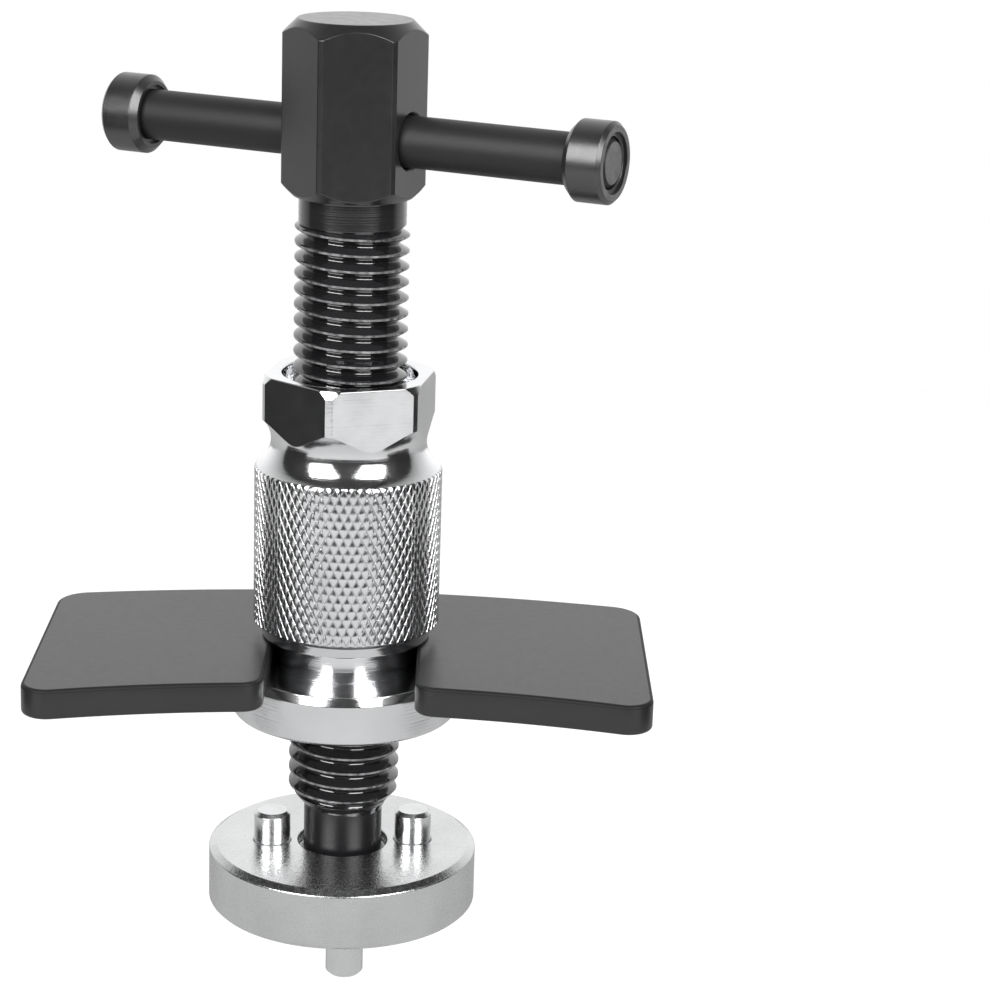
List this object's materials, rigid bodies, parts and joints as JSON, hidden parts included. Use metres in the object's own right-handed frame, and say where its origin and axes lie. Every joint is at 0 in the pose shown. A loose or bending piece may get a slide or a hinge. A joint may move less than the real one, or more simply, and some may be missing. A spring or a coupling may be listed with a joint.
{
  "type": "brake caliper piston tool",
  "caption": "Screw press with a sliding handle bar, knurled sleeve, slotted reaction plate and pinned adapter disc, for winding a brake piston back into its caliper.",
  "frame": {"origin": "on the screw's axis, at the upper face of the reaction plate, where it bears on the caliper", "axes": "+Z along the screw towards the handle bar, +X along the length of the reaction plate, -Y out of the plate's slot"},
  "size_m": [0.097, 0.0542, 0.1509],
  "materials": {
    "black_screw": "glossy black oxide on steel",
    "black_bar": "satin black oxide on steel",
    "black_plate": "satin black coating on steel",
    "bright_sleeve": "bright nickel-chrome plate over turned and knurled steel",
    "bright_collar": "bright nickel plate over turned steel",
    "bearing_steel": "ground bearing steel",
    "cage_brass": "stamped brass",
    "spring_steel": "phosphated spring steel",
    "disc_nickel": "satin nickel plate over cast and turned steel",
    "pin_steel": "ground dowel steel",
    "magnet": "nickel-plated magnet"
  },
  "bodies": {
    "plate": {"reaction_plate": "black_plate"},
    "collar": {"thrust_collar": "bright_collar", "upper_race": "bearing_steel"},
    "bearing": {"ball_cage": "cage_brass", "bearing_balls": "bearing_steel"},
    "sleeve": {"knurled_sleeve": "bright_sleeve", "lower_race": "bearing_steel", "retaining_ring": "spring_steel"},
    "screw_carriage": {"drive_magnet": "magnet"},
    "screw": {"lead_screw": "black_screw"},
    "handle": {"tee_bar": "black_bar", "bar_cap_near": "black_bar", "bar_cap_far": "black_bar"},
    "adapter": {"adapter_disc": "disc_nickel", "upper_pin_left": "pin_steel", "upper_pin_right": "pin_steel", "lower_pin_front": "pin_steel", "lower_pin_rear": "pin_steel"}
  },
  "joints": [
    {"name": "slot_slide", "type": "slide", "parent": "plate", "child": "collar", "axis": [0, -1, 0], "range_m": [0, 0.055]},
    {"name": "sleeve_turn", "type": "hinge", "parent": "collar", "child": "sleeve", "pos_m": [0, 0, 0], "axis": [0, 0, 1], "continuous": true},
    {"name": "cage_turn", "type": "hinge", "parent": "collar", "child": "bearing", "pos_m": [0, 0, 0], "axis": [0, 0, 1], "continuous": true},
    {"name": "screw_travel", "type": "slide", "parent": "sleeve", "child": "screw_carriage", "axis": [0, 0, 1], "range_m": [-0.0275, 0.01625]},
    {"name": "screw_turn", "type": "hinge", "parent": "screw_carriage", "child": "screw", "pos_m": [0, 0, 0], "axis": [0, 0, 1], "range_deg": [-3962, 2342]},
    {"name": "bar_slide", "type": "slide", "parent": "screw", "child": "handle", "axis": [0.9033, -0.4289, 0], "range_m": [-0.02715, 0.02565]},
    {"name": "adapter_pull", "type": "slide", "parent": "screw", "child": "adapter", "axis": [0, 0, -1], "range_m": [0, 0.02]}
  ],
  "couplings": [
    {"joint": "cage_turn", "follows": "sleeve_turn", "ratio": 0.5},
    {"joint": "screw_turn", "follows": "screw_travel", "rad_per_m": 2513.3}
  ]
}
